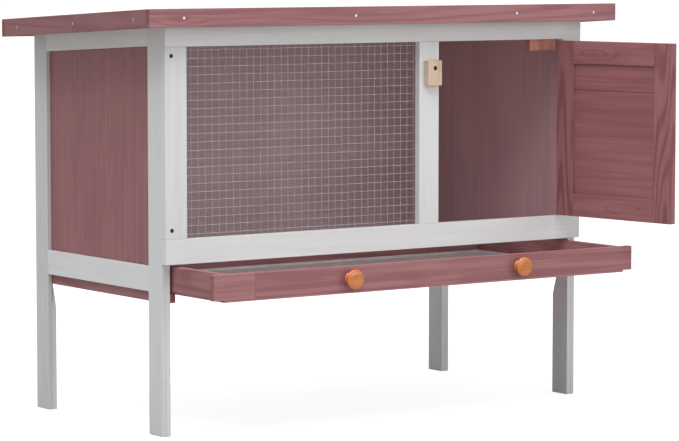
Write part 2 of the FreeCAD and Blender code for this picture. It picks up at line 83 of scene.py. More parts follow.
class HutchStageSettings(bpy.types.PropertyGroup):
    floor_colour: colour("Floor colour", "Colour of the floor", 0.5, 0.5, 0.5)
    floor_glow: FloatProperty(name="Floor glow", default=0.81,
                              description="How much paler the floor looks than it lights")
    floor_width: FloatProperty(name="Floor width", description="Side of the square floor",
                               default=160.0, unit="LENGTH")
    sky_strength: FloatProperty(name="Sky", description="Strength of the even white sky",
                                default=0.55)
    top_light: FloatProperty(name="Top softbox", description="Power of the softbox above",
                             default=84.0, unit="POWER")
    front_light: FloatProperty(name="Front softbox", default=27.0, unit="POWER",
                               description="Power of the softbox in front on the right")
    camera_place: FloatVectorProperty(name="Camera place", description="Where the camera is",
                                      default=(-2.8344, -3.9894, 0.7325), unit="LENGTH",
                                      subtype="TRANSLATION")
    camera_turn: FloatProperty(name="Camera turn", default=math.radians(-35.15),
                               description="Turn about the upright axis", unit="ROTATION")
    camera_dip: FloatProperty(name="Camera dip", default=math.radians(4.99),
                              description="How far the camera looks down", unit="ROTATION")
    camera_lens: FloatProperty(name="Lens", description="Focal length in millimetres",
                               default=162.46)


class HutchTimberSettings(bpy.types.PropertyGroup):
    stain_light: colour("Stain, early wood", "Red stain on soft grain", 0.41, 0.182, 0.19)
    stain_dark: colour("Stain, late wood", "Red stain on hard grain", 0.245, 0.085, 0.093)
    # Paler, greyer copies of the stain for inner faces: painted light for the cabin's dim inside.
    inside_lit_early: colour("Inside, early wood", "Thin stain indoors", 0.61, 0.375, 0.415)
    inside_lit_late: colour("Inside, late wood", "Thin stain indoors, grain", 0.43, 0.235, 0.265)
    rear_lit_early: colour("Rear wall inside, early wood", "Greyer stain on the rear wall",
                       0.64, 0.50, 0.53)
    rear_lit_late: colour("Rear wall inside, late wood", "Greyer stain on the rear wall, grain",
                      0.46, 0.33, 0.355)
    paint_light: colour("Paint", "Off-white paint", 0.79, 0.80, 0.80)
    paint_dark: colour("Paint over grain", "Paint where grain shows", 0.71, 0.72, 0.72)
    pine_light: colour("Pine, early wood", "Bare pale pine", 0.74, 0.585, 0.45)
    pine_dark: colour("Pine, late wood", "Bare pine grain", 0.60, 0.40, 0.235)
    block_light: colour("Door stop, light", "Door stop's lightly stained wood",
                        0.66, 0.29, 0.22)
    block_dark: colour("Door stop, dark", "Door stop's grain", 0.48, 0.18, 0.13)
    varnish_light: colour("Varnish, light", "Orange varnish", 0.69, 0.22, 0.047)
    varnish_dark: colour("Varnish, dark", "Varnish over grain", 0.50, 0.13, 0.02)
    ring_count: FloatProperty(name="Growth lines", default=9.0,
                              description="Growth lines across each wave of the grain")
    finger_joint: size("Finger joint", "Joint in the tray's front, from its left", 73.0)
    side_joint: size("Side joint", "Joint in the roof's side boards, from the rear", 212.0)


class HutchWireSettings(bpy.types.PropertyGroup):
    pitch: size("Mesh pitch", "Distance between wires", 12.7)
    thickness: size("Wire", "Diameter of the wires", 0.85)
    swell: share("Weld swell", "How much thicker a wire is where it is welded", 0.22)
    bow: size("Bow", "How far a wire strays from straight", 0.35)
    galvanised: colour("Zinc", "Colour of the galvanised wire", 0.62, 0.56, 0.555)


class HutchMetalSettings(bpy.types.PropertyGroup):
    zinc_plate: colour("Zinc plate", "Hinges and their screws", 0.66, 0.65, 0.62)
    black_steel: colour("Blackened steel", "Frame screws", 0.045, 0.045, 0.05)
    nail_colour: colour("Nails", "Bright nail heads", 0.82, 0.80, 0.79)
    liner_colour: colour("Tray liner", "Galvanised sheet of the tray", 0.78, 0.76, 0.76)
    recess_depth: share("Recess", "Depth of a driver recess, as a share of the head", 0.55)
    thread_height: share("Thread", "Thread height as a share of the shank's radius", 0.22)
    liner_lip: size("Liner lip", "Height of the liner's turned-up edge", 5.0)
    liner_wave: size("Liner wave", "Height of the waves in the liner", 0.25)


class HutchKnobSettings(bpy.types.PropertyGroup):
    base_radius: size("Base", "Radius of the knob's foot", 10.0)
    neck_radius: size("Neck", "Smallest radius of the knob", 7.4)
    head_radius: size("Head", "Largest radius of the knob", 15.3)
    face_dish: size("Face rim", "How far the rim stands out from the knob's face", 0.9)


class HutchRoofSettings(bpy.types.PropertyGroup):
    felt_colour: colour("Felt", "Mineral felt", 0.052, 0.062, 0.055)
    granule_colour: colour("Granules", "Lighter granules in the felt", 0.16, 0.175, 0.16)
    felt_wave: size("Felt wave", "Height of the waves in the felt", 0.45)


# ---- meshes from numpy arrays ----

def node_points(node):
    """Every vertex of a CAD node, as an array of points."""
    mesh = frame["nodes"][node].data
    flat = np.zeros(len(mesh.vertices) * 3)
    mesh.vertices.foreach_get("co", flat)
    return flat.reshape(-1, 3)


def solids_of(node):
    """The vertices of each separate solid of a CAD node, lowest X, then Y, then Z first.

    Equal corners share a number; each number takes the lowest label that its edges reach
    until nothing changes, so each solid ends with one label.
    """
    points = node_points(node)
    mesh = frame["nodes"][node].data
    _, number = np.unique(np.round(points / SAME_PLACE).astype(np.int64), axis=0,
                          return_inverse=True)
    number = number.ravel()
    edges = np.zeros(len(mesh.edges) * 2, np.int64)
    mesh.edges.foreach_get("vertices", edges)
    a, b = number[edges.reshape(-1, 2)].T
    label = np.arange(number.max() + 1)
    while True:
        before = label.copy()
        np.minimum.at(label, a, label[b])
        np.minimum.at(label, b, label[a])
        label = label[label]
        if np.array_equal(before, label):
            break
    owner = label[number]
    found = [points[owner == k] for k in np.unique(owner)]
    return sorted(found, key=lambda p: tuple(np.round(p.min(0), 5)))


def unit(vector):
    vector = np.asarray(vector, float)
    return vector / np.linalg.norm(vector)


def side_directions(axis):
    """Two directions at right angles to an axis, so that u x v = axis."""
    axis = unit(axis)
    u = unit(np.cross((0.0, 0.0, 1.0) if abs(axis[2]) < 0.9 else (1.0, 0.0, 0.0), axis))
    return u, np.cross(axis, u)


def shell_faces(shells, rings, around):
    """Faces of closed shells numbered shell by shell, ring by ring: quads between rings,
    and one flat cap at each end. Rings turn anticlockwise about the way they advance."""
    s, r, k = np.meshgrid(np.arange(shells), np.arange(rings - 1), np.arange(around),
                          indexing="ij")
    here = (s * rings + r) * around
    after = (k + 1) % around
    quads = np.stack([here + k, here + after, here + around + after, here + around + k], -1)
    first = np.arange(shells)[:, None] * rings * around + np.arange(around)[None, ::-1]
    last = (np.arange(shells)[:, None] * rings + rings - 1) * around + np.arange(around)
    return quads.reshape(-1, 4).tolist() + first.tolist() + last.tolist()


def sheet_faces(rows, columns):
    """Quads of one open grid of points numbered row by row."""
    r, c = np.meshgrid(np.arange(rows - 1), np.arange(columns - 1), indexing="ij")
    corner = r * columns + c
    quads = np.stack([corner, corner + 1, corner + columns + 1, corner + columns], -1)
    return quads.reshape(-1, 4).tolist()


def add_piece(name, points, faces, body, nodes, material, smooth_angle=40.0):
    """A new object whose place is in its mesh, riding on a body in place of CAD nodes."""
    mesh = bpy.data.meshes.new(name)
    mesh.from_pydata(np.asarray(points).reshape(-1, 3).tolist(), [], faces)
    mesh.update()
    mesh.validate()
    mesh.shade_smooth()
    mesh.set_sharp_from_angle(angle=math.radians(smooth_angle))
    piece = bpy.data.objects.new(name, mesh)
    bpy.context.scene.collection.objects.link(piece)
    piece.data.materials.append(material)
    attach(piece, body)
    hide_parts(*nodes)
    return piece


def turned(profile, starts, axis, around):
    """Turned pieces: profile rows are (distance along the axis, radius), carried round the
    axis from each start. Point = start + distance * axis + radius * (cos a u + sin a v)."""
    u, v = side_directions(axis)
    angle = np.arange(around) * math.tau / around
    ring = np.cos(angle)[:, None] * u + np.sin(angle)[:, None] * v
    profile = np.asarray(profile, float)
    along = profile[:, 0, None, None] * unit(axis)
    out = profile[:, 1, None, None] * ring
    points = np.asarray(starts, float)[:, None, None, :] + (along + out)[None]
    return points, shell_faces(len(starts), len(profile), around)


def curve_through(corners, steps):
    """A smooth Catmull-Rom line through corner points, with steps points on each span:
    0.5 (2 P1 + (P2 - P0) t + (2 P0 - 5 P1 + 4 P2 - P3) t^2 + (3 P1 - P0 - 3 P2 + P3) t^3)."""
    p = np.asarray(corners, float)
    p = np.vstack([2 * p[0] - p[1], p, 2 * p[-1] - p[-2]])
    t = (np.arange(steps) / steps)[None, :, None]
    p0, p1, p2, p3 = (p[i:len(p) - 3 + i, None, :] for i in range(4))
    spans = 0.5 * (2 * p1 + (p2 - p0) * t + (2 * p0 - 5 * p1 + 4 * p2 - p3) * t ** 2
                   + (3 * p1 - p0 - 3 * p2 + p3) * t ** 3)
    return np.vstack([spans.reshape(-1, p.shape[1]), p[-2:-1]])


def smooth_step(x):
    x = np.clip(x, 0.0, 1.0)
    return x * x * (3.0 - 2.0 * x)


# ---- shader groups ----

class Wiring:
    """Adds nodes to a tree. An input is a plain value or another node's socket."""

    def __init__(self, tree):
        self.tree = tree

    def add(self, kind, inputs=None, **settings):
        made = self.tree.nodes.new(kind)
        for key, value in settings.items():
            setattr(made, key, value)
        for key, value in (inputs or {}).items():
            if isinstance(value, bpy.types.NodeSocket):
                self.tree.links.new(value, made.inputs[key])
            else:
                made.inputs[key].default_value = value
        return made

    def math(self, operation, *values, clamp=False):
        node = self.add("ShaderNodeMath", dict(enumerate(values)), operation=operation,
                        use_clamp=clamp)
        return node.outputs[0]

    def plus(self, first, second, clamp=False):
        return self.math("ADD", first, second, clamp=clamp)

    def times(self, first, second, clamp=False):
        return self.math("MULTIPLY", first, second, clamp=clamp)

    def stretch(self, vector, scale):
        node = self.add("ShaderNodeVectorMath", {0: vector, 1: scale}, operation="MULTIPLY")
        return node.outputs[0]

    def dot(self, first, second):
        node = self.add("ShaderNodeVectorMath", {0: first, 1: second},
                        operation="DOT_PRODUCT")
        return node.outputs["Value"]

    def place(self):
        return self.add("ShaderNodeTexCoord").outputs["Object"]

    def noise(self, vector, scale=1.0, detail=2.0, roughness=0.5):
        node = self.add("ShaderNodeTexNoise", {"Vector": vector, "Scale": scale,
                                               "Detail": detail, "Roughness": roughness})
        return node.outputs["Fac"]

    def fade(self, value, low, high, to_low=0.0, to_high=1.0):
        """A smooth step from one value to another as the input goes from low to high."""
        node = self.add("ShaderNodeMapRange", {"Value": value, "From Min": low,
                                               "From Max": high, "To Min": to_low,
                                               "To Max": to_high},
                        interpolation_type="SMOOTHSTEP")
        return node.outputs["Result"]

    def blend(self, factor, first, second):
        """One colour at 0 and another at 1. Sockets 6, 7 and 2 are the node's colour ones."""
        node = self.add("ShaderNodeMix", {0: factor, 6: first, 7: second}, data_type="RGBA")
        return node.outputs[2]

    def bump(self, height, strength, distance):
        node = self.add("ShaderNodeBump", {"Height": height, "Strength": strength,
                                           "Distance": distance})
        return node.outputs["Normal"]

    def group(self, name, **inputs):
        spaced = {key.replace("_", " "): value for key, value in inputs.items()}
        return self.add("ShaderNodeGroup", spaced, node_tree=bpy.data.node_groups[name])

    def finish(self, shader, base, roughness, normal):
        for key, value in (("Base Color", base), ("Roughness", roughness),
                           ("Normal", normal)):
            self.tree.links.new(value, shader.inputs[key])


def start_group(name, inputs, outputs):
    """An empty node group with named sockets; inputs are (name, socket type, default)."""
    tree = bpy.data.node_groups.new(name, "ShaderNodeTree")
    for label, kind, default in inputs:
        socket = tree.interface.new_socket(label, in_out="INPUT", socket_type=kind)
        if default is not None:
            socket.default_value = default
    for label, kind in outputs:
        tree.interface.new_socket(label, in_out="OUTPUT", socket_type=kind)
    source = tree.nodes.new("NodeGroupInput")
    sink = tree.nodes.new("NodeGroupOutput")
    return tree, Wiring(tree), source, sink


FLOAT, VECTOR = "NodeSocketFloat", "NodeSocketVector"


def make_grain_group():
    """Flat-sawn softwood with its length along X. Growth lines are the level lines of a
    stretched noise, lifted round knots, so they close into long loops and arches."""
    tree, w, source, sink = start_group(
        "timber_grain",
        [("Vector", VECTOR, None), ("Growth Lines", FLOAT, 9.0), ("Knots", FLOAT, 0.5)],
        [("Lines", FLOAT), ("Streaks", FLOAT), ("Fibre", FLOAT), ("Tone", FLOAT),
         ("Knots", FLOAT), ("Height", FLOAT)])
    place = source.outputs["Vector"]
    drift = w.noise(w.stretch(place, (1.7, 15.0, 15.0)), detail=1.0)
    cells = w.add("ShaderNodeTexVoronoi", {"Vector": w.stretch(place, (4.5, 22.0, 22.0)),
                                           "Scale": 1.0, "Randomness": 0.9})
    chosen = w.add("ShaderNodeSeparateColor", {"Color": cells.outputs["Color"]})
    rare = w.math("LESS_THAN", chosen.outputs["Red"],
                  w.times(source.outputs["Knots"], 0.4))
    near = w.fade(cells.outputs["Distance"], 0.34, 0.0)
    around = w.times(near, rare)
    field = w.plus(drift, w.times(around, 0.35))
    turns = w.times(field, source.outputs["Growth Lines"])
    wave = w.math("SINE", w.times(turns, math.tau))
    lines = w.fade(wave, -0.35, 1.0)
    streaks = w.fade(w.noise(w.stretch(place, (3.0, 150.0, 150.0)), detail=3.0,
                             roughness=0.6), 0.32, 0.68)
    fibre = w.noise(w.stretch(place, (22.0, 1100.0, 1100.0)), detail=2.0)
    tone = w.fade(w.noise(w.stretch(place, (4.0, 13.0, 13.0)), detail=2.0), 0.3, 0.7)
    knots = w.times(w.fade(cells.outputs["Distance"], 0.17, 0.07), rare)
    height = w.plus(w.times(fibre, 0.6), w.times(lines, 0.4))
    for label, value in (("Lines", lines), ("Streaks", streaks), ("Fibre", fibre),
                         ("Tone", tone), ("Knots", knots), ("Height", height)):
        tree.links.new(value, sink.inputs[label])


def make_wear_group():
    """Painted highlight and rubbed finish along edges: 1 where the surface turns sharply within
    a radius, broken up by noise, from the angle between the plain normal and one rounded at the edges."""
    tree, w, source, sink = start_group(
        "edge_wear",
        [("Radius", FLOAT, 0.0012), ("Breakup", FLOAT, 60.0), ("Amount", FLOAT, 0.6)],
        [("Mask", FLOAT)])
    rounded = w.add("ShaderNodeBevel", {"Radius": source.outputs["Radius"]}, samples=4)
    plain = w.add("ShaderNodeNewGeometry")
    turn = w.fade(w.dot(rounded.outputs["Normal"], plain.outputs["Normal"]), 0.985, 0.80)
    patches = w.noise(w.place(), source.outputs["Breakup"], 3.0)
    mask = w.times(turn, w.fade(patches, 0.35, 0.6, 0.35, 1.0))
    mask = w.times(mask, source.outputs["Amount"], clamp=True)
    tree.links.new(mask, sink.inputs["Mask"])


def make_corner_shade_group():
    """Painted shade in corners, broken into patches: 1 where little open space is seen within a distance."""
    tree, w, source, sink = start_group(
        "corner_dust", [("Distance", FLOAT, 0.012), ("Amount", FLOAT, 0.5)],
        [("Mask", FLOAT)])
    space = w.add("ShaderNodeAmbientOcclusion", {"Distance": source.outputs["Distance"]},
                  samples=4)
    patches = w.noise(w.place(), 45.0, 3.0)
    mask = w.times(w.fade(space.outputs["AO"], 0.75, 0.25),
                   w.fade(patches, 0.3, 0.65, 0.4, 1.0))
    mask = w.times(mask, source.outputs["Amount"], clamp=True)
    tree.links.new(mask, sink.inputs["Mask"])


# ---- materials ----

SEED_STEP = (0.37, 0.61, 0.23)       # how far apart pieces lie in the grain
AFTER_JOINT = (1.9, 0.31, 0.77)      # shift of the grain past a finger joint

# How boards differ in the colour they take, as a factor on their stain or paint: the left legs
# # and stile, the side boards and the open door are darkened as painted shade, and the tray's
# # front is lightened as painted light, besides some tone from board to board.
BOARD_PAINTED_LIGHT = {"roof_fascia_front": 0.98, "roof_fascia_right": 0.85,
               "roof_fascia_left": 0.76, "side_panel_left": 0.85,
               "tray_front_board": 1.08, "tray_side_left": 0.92,
               "leg_front_left": 0.93, "leg_rear_left": 0.85, "front_stile_left": 0.93}
DOOR_PAINTED_SHADE = (0.80, 0.71, 0.71)       # the same for the door, red, green and blue


def rgba(values):
    return (*values, 1.0)


def start_material(name, **shader_values):
    """A material with a Principled shader whose plain values are set on its own sockets."""
    material = bpy.data.materials.new(name)
    material.use_nodes = True
    shader = material.node_tree.nodes["Principled BSDF"]
    for key, value in shader_values.items():
        shader.inputs[key.replace("_", " ")].default_value = value
    return material, Wiring(material.node_tree), shader


def along_grain(axis, door_turn):
    """Euler turn that brings a piece's length onto X, after the open door's turn is undone."""
    align = {"x": Matrix.Identity(3), "y": Matrix.Rotation(-math.pi / 2, 3, "Z"),
             "z": Matrix.Rotation(math.pi / 2, 3, "Y")}[axis]
    return (align @ Matrix.Rotation(-door_turn, 3, "Z")).to_euler("XYZ")


def timber(name, axis, light, dark, knot, contrast, rough, seed, door_turn=0.0, knots=0.5,
           lines=9.0, wear=0.35, wear_colour=None, weights=(0.30, 0.40, 0.30), coat=0.0,
           joint_at=None, joint_tone=0.2, end_dark=0.5, inside=None, inside_colours=(),
           corner_shade=0.28):
    """Wood along an axis: early and late wood, streaks, blotches, knots, edges lightened as
    painted highlight and rubbing, and corners darkened as painted shade.
    The end grain takes more colour. At a finger joint the grain and the tone change. Faces
    that look the inside way, into the cabin, take paler colours of their own: painted light
    for the dim inside."""
    material, w, shader = start_material(name, Coat_Weight=coat, Coat_Roughness=0.18)
    coords = w.add("ShaderNodeTexCoord")
    turn = w.add("ShaderNodeMapping", {"Vector": coords.outputs["Object"],
                                       "Rotation": along_grain(axis, door_turn),
                                       "Location": [seed * step for step in SEED_STEP]})
    place = turn.outputs["Vector"]
    if joint_at is not None:
        along = w.add("ShaderNodeSeparateXYZ", {"Vector": place}).outputs["X"]
        edge = joint_at + seed * SEED_STEP[0]
        beyond = w.math("GREATER_THAN", along, edge)
        other = w.add("ShaderNodeVectorMath", {0: AFTER_JOINT, "Scale": beyond},
                      operation="SCALE")
        place = w.add("ShaderNodeVectorMath", {0: place, 1: other.outputs[0]},
                      operation="ADD").outputs[0]
    grain = w.group("timber_grain", Vector=place, Growth_Lines=lines, Knots=knots)
    out = grain.outputs
    parts = [w.times(out[label], weight)
             for label, weight in zip(("Lines", "Streaks", "Tone"), weights)]
    depth = w.plus(w.plus(parts[0], parts[1]), parts[2])
    depth = w.plus(depth, w.times(w.math("SUBTRACT", out["Fibre"], 0.5), 0.35))
    depth = w.times(w.fade(depth, 0.1, 0.95), contrast, clamp=True)
    if joint_at is not None:
        seam = w.fade(w.math("ABSOLUTE", w.math("SUBTRACT", along, edge)), 0.0008, 0.0003)
        depth = w.plus(depth, w.times(beyond, joint_tone))
        depth = w.plus(depth, w.times(seam, 0.5), clamp=True)
    facing = w.add("ShaderNodeMapping", {"Vector": coords.outputs["Normal"],
                                         "Rotation": along_grain(axis, door_turn)},
                   vector_type="NORMAL")
    lengthways = w.add("ShaderNodeSeparateXYZ", {"Vector": facing.outputs[0]}).outputs["X"]
    at_end = w.fade(w.math("ABSOLUTE", lengthways), 0.8, 0.97)
    depth = w.plus(depth, w.times(at_end, end_dark), clamp=True)
    base = w.blend(depth, rgba(light), rgba(dark))
    # Inner faces take the paler colours: painted light.
    if inside is not None:
        inner = w.blend(depth, rgba(inside_colours[0]), rgba(inside_colours[1]))
        towards = w.dot(coords.outputs["Normal"], inside)
        base = w.blend(w.fade(towards, 0.7, 0.9), base, inner)
    base = w.blend(w.times(out["Knots"], 0.75), base, rgba(knot))
    # Edges lightened: painted highlight along rounded edges, with some rubbing of the finish.
    highlighted_edges = w.group("edge_wear", Amount=wear)
    base = w.blend(highlighted_edges.outputs["Mask"], base,
                   rgba(light if wear_colour is None else wear_colour))
    # Corners darkened: painted shade from the occlusion mask.
    shaded_corners = w.group("corner_dust", Amount=corner_shade)
    base = w.blend(shaded_corners.outputs["Mask"], base, rgba(np.array(dark) * 0.55))
    roughness = w.plus(w.times(out["Streaks"], 0.12), rough)
    w.finish(shader, base, roughness, w.bump(out["Height"], 0.35, 0.0004))
    return material


def metal(name, base, rough, scratch=0.35, spangle=0.0, metallic=1.0):
    """Metal with fine scratches and dull patches, and zinc spangle where asked for."""
    material, w, shader = start_material(name, Metallic=metallic)
    place = w.place()
    patches = w.fade(w.noise(place, 55.0, 4.0), 0.3, 0.7)
    marks = w.fade(w.noise(w.stretch(place, (900.0, 120.0, 500.0)), detail=3.0), 0.45, 0.75)
    crystals = w.add("ShaderNodeTexVoronoi", {"Vector": place, "Scale": 110.0})
    tint = w.add("ShaderNodeSeparateColor", {"Color": crystals.outputs["Color"]})
    shade = w.plus(w.times(patches, 0.45), w.times(tint.outputs["Green"], spangle))
    mixed = w.blend(shade, rgba(base), rgba(np.array(base) * 0.72))
    # Edges lightened: painted highlight on the metal's edges.
    highlighted_edges = w.group("edge_wear", Amount=0.5, Radius=0.0004)
    mixed = w.blend(highlighted_edges.outputs["Mask"], mixed, rgba(np.minimum(np.array(base) * 1.25, 1.0)))
    roughness = w.plus(w.times(marks, scratch * 0.4), rough)
    w.finish(shader, mixed, roughness, w.bump(marks, 0.2, 0.0001))
    return material


def felt_material(settings):
    """Bitumen felt covered with crushed mineral granules of mixed shades."""
    material, w, shader = start_material("roof_felt_granules")
    place = w.place()
    stones = w.add("ShaderNodeTexVoronoi", {"Vector": place, "Scale": 620.0})
    shade = w.add("ShaderNodeSeparateColor", {"Color": stones.outputs["Color"]})
    blotches = w.fade(w.noise(place, 9.0, 4.0), 0.3, 0.7)
    fleck = w.times(w.fade(shade.outputs["Red"], 0.35, 0.95),
                    w.plus(w.times(blotches, 0.5), 0.5))
    mixed = w.blend(fleck, rgba(settings.felt_colour), rgba(settings.granule_colour))
    rough = w.fade(stones.outputs["Distance"], 0.0, 0.7, 0.82, 0.97)
    height = w.fade(stones.outputs["Distance"], 0.8, 0.0)
    w.finish(shader, mixed, rough, w.bump(height, 0.7, 0.0006))
    return material


def joint_open_angle(name):
    """How far a hinge stands open at rest, from the lower end of its range."""
    joint = next(j for j in frame["joints"] if j["name"] == name)
    return -math.radians(joint["range_deg"][0])


def slot_of(node):
    return next(s["material_slot"] for s in frame["record"]["subparts"]
                if s["node"] == node)


def length_axis(node, door_turn):
    """The direction a piece is longest in; a door piece is measured as if it were shut."""
    points = node_points(node)
    turn = np.array(Matrix.Rotation(-door_turn, 3, "Z"))
    spans = np.ptp(points @ turn.T, axis=0)
    return "xyz"[int(np.argmax(spans))]


# ---- operators: each makes one piece or one group of like pieces ----

class HUTCH_OT_stage(bpy.types.Operator):
    """Floor, even sky, two softboxes and the camera"""
    bl_idname = "hutch.stage"
    bl_label = "Stage and camera"

    # name, where it is, what it faces, its width
    softboxes = (("top", (-0.8, -0.8, 3.0), (0.0, 0.0, 0.3), 2.6),
                 ("front", (1.6, -3.9, 1.3), (0.0, 0.0, 0.35), 2.0))

    def softbox(self, name, place, target, width, power):
        """A square light whose local Z points back, away from what it faces."""
        data = bpy.data.lights.new(name, "AREA")
        data.shape = "SQUARE"
        data.size = width
        data.energy = power
        lamp = bpy.data.objects.new(name, data)
        lamp.location = place
        back = np.array(place) - np.array(target)
        axes = np.stack([*side_directions(back), unit(back)], axis=1)
        lamp.rotation_euler = Matrix(axes.tolist()).to_euler()
        bpy.context.scene.collection.objects.link(lamp)

    def execute(self, context):
        s = context.scene.hutch_stage
        scene = context.scene
        half = s.floor_width / 2.0
        mesh = bpy.data.meshes.new("floor")
        corners = [(-half, -half, 0), (half, -half, 0), (half, half, 0), (-half, half, 0)]
        mesh.from_pydata(corners, [], [(0, 1, 2, 3)])
        material, w, shader = start_material("floor_pale", Roughness=0.9)
        cloud = w.blend(w.noise(w.place(), 3.0, 3.0), rgba(s.floor_colour),
                        rgba(np.array(s.floor_colour) * 0.985))
        w.tree.links.new(cloud, shader.inputs["Base Color"])
        seen = w.add("ShaderNodeLightPath").outputs["Is Camera Ray"]
        shader.inputs["Emission Color"].default_value = (1.0, 1.0, 1.0, 1.0)
        w.tree.links.new(w.times(seen, s.floor_glow), shader.inputs["Emission Strength"])
        mesh.materials.append(material)
        floor = bpy.data.objects.new("floor", mesh)
        scene.collection.objects.link(floor)

        world = bpy.data.worlds.new("even_sky")
        world.use_nodes = True
        sky = world.node_tree.nodes["Background"]
        sky.inputs["Color"].default_value = (1.0, 1.0, 1.0, 1.0)
        above = Wiring(world.node_tree)
        seen = above.add("ShaderNodeLightPath").outputs["Is Camera Ray"]
        strength = above.plus(s.sky_strength, above.times(seen, 1.0 - s.sky_strength))
        world.node_tree.links.new(strength, sky.inputs["Strength"])
        scene.world = world
        for name, place, target, width in self.softboxes:
            self.softbox("softbox_" + name, place, target, width,
                         getattr(s, name + "_light"))

        lens = bpy.data.cameras.new("camera")
        lens.lens = s.camera_lens
        lens.clip_end = 200.0
        camera = bpy.data.objects.new("camera", lens)
        camera.location = s.camera_place
        camera.rotation_euler = (math.pi / 2 - s.camera_dip, 0.0, s.camera_turn)
        scene.collection.objects.link(camera)
        scene.camera = camera
        scene.view_settings.view_transform = "Standard"
        return {"FINISHED"}


class HUTCH_OT_timber(bpy.types.Operator):
    """Stain, paint or bare grain on every carried wooden piece"""
    bl_idname = "hutch.timber"
    bl_label = "Timber finishes"

    def finish_for(self, node, s):
        """A wooden piece's material by its slot and name, or None for any other piece."""
        on_door = node.startswith("door_") and node != "door_stop_block"
        door_turn = joint_open_angle("door_hinge") if on_door else 0.0
        axis = length_axis(node, door_turn)
        seed = sorted(frame["nodes"]).index(node) + 1
        look = {"axis": axis, "seed": seed, "door_turn": door_turn,
                "lines": s.ring_count, "name": node + "_finish"}
        slot = slot_of(node)
        # Board factors: painted shade and light, with some tone from board to board.
        tone = np.array(DOOR_PAINTED_SHADE if on_door else (1.0, 1.0, 1.0))
        tone *= BOARD_PAINTED_LIGHT.get(node, 1.0)
        if node == "door_stop_block":
            return timber(light=s.block_light, dark=s.block_dark, knot=(0.2, 0.07, 0.04),
                          contrast=1.0, rough=0.5, **look)
        if slot == "red_stain":
            # Lighter pink edges: painted highlight, with some rubbing of the stain.
            look.update(light=tone * s.stain_light, dark=tone * s.stain_dark, rough=0.50,
                        knot=(0.12, 0.04, 0.045), wear=0.3,
                        wear_colour=tone * (0.50, 0.27, 0.27))
            low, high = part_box(node)
            if node.startswith(("side_panel", "back_panel")):
                look.update(inside=(-np.sign(low[0] + high[0]), 0, 0),
                            inside_colours=(s.inside_lit_early, s.inside_lit_late))
                if node == "back_panel":
                    look.update(inside=(0, -1, 0),
                                inside_colours=(s.rear_lit_early, s.rear_lit_late))
                return timber(contrast=0.38, knots=0.1, weights=(0.10, 0.45, 0.45), **look)
            if node == "tray_front_board":
                look.update(joint_at=low[0] + s.finger_joint, joint_tone=0.22)
            if node in ("roof_fascia_left", "roof_fascia_right"):
                look.update(joint_at=high[1] - s.side_joint, joint_tone=-0.25)
            if node.startswith("door_stile"):
                look["lines"] = s.ring_count * 1.6
                return timber(contrast=0.85, knots=0.3, weights=(0.55, 0.3, 0.15), corner_shade=0.6,
                              **look)
            if node == "door_panel":
                look["axis"] = "x"
                return timber(contrast=0.6, knots=0.1, weights=(0.15, 0.55, 0.30), corner_shade=0.8,
                              **look)
            if node == "tray_front_board":
                return timber(contrast=0.6, knots=0.1, weights=(0.15, 0.6, 0.25), **look)
            return timber(contrast=0.75, knots=0.5, corner_shade=0.5, **look)
        if slot == "white_paint":
            # Paler edges: painted highlight, with some rubbing of the paint.
            return timber(light=tone * s.paint_light, dark=tone * s.paint_dark,
                          knot=(0.66, 0.62, 0.57), contrast=0.6, rough=0.42, knots=0.12,
                          end_dark=0.3, wear_colour=(0.86, 0.83, 0.80),
                          weights=(0.15, 0.45, 0.40), **look)
        if slot == "bare_pine":
            return timber(light=s.pine_light, dark=s.pine_dark, knot=(0.26, 0.13, 0.06),
                          contrast=0.8, rough=0.55, **look)
        return None

    def execute(self, context):
        for node, piece in sorted(frame["nodes"].items()):
            material = self.finish_for(node, context.scene.hutch_timber)
            if material is None:
                continue
            piece.data.materials.clear()
            piece.data.materials.append(material)
        return {"FINISHED"}


class HUTCH_OT_hinges(bpy.types.Operator):
    """Zinc plate on the hinge leaves and pins, and galvanised staples"""
    bl_idname = "hutch.hinges"
    bl_label = "Hinges and staples"

    def execute(self, context):
        m = context.scene.hutch_metal
        plate = metal("hinge_zinc", m.zinc_plate, 0.32)
        pin = metal("pin_steel", m.zinc_plate, 0.24)
        staple = metal("staple_zinc", m.nail_colour, 0.3)
        for node, material in (("hinge_leaves_frame", plate), ("hinge_leaves_door", plate),
                               ("hinge_pins", pin), ("mesh_staples", staple)):
            frame["nodes"][node].data.materials.clear()
            frame["nodes"][node].data.materials.append(material)
        return {"FINISHED"}


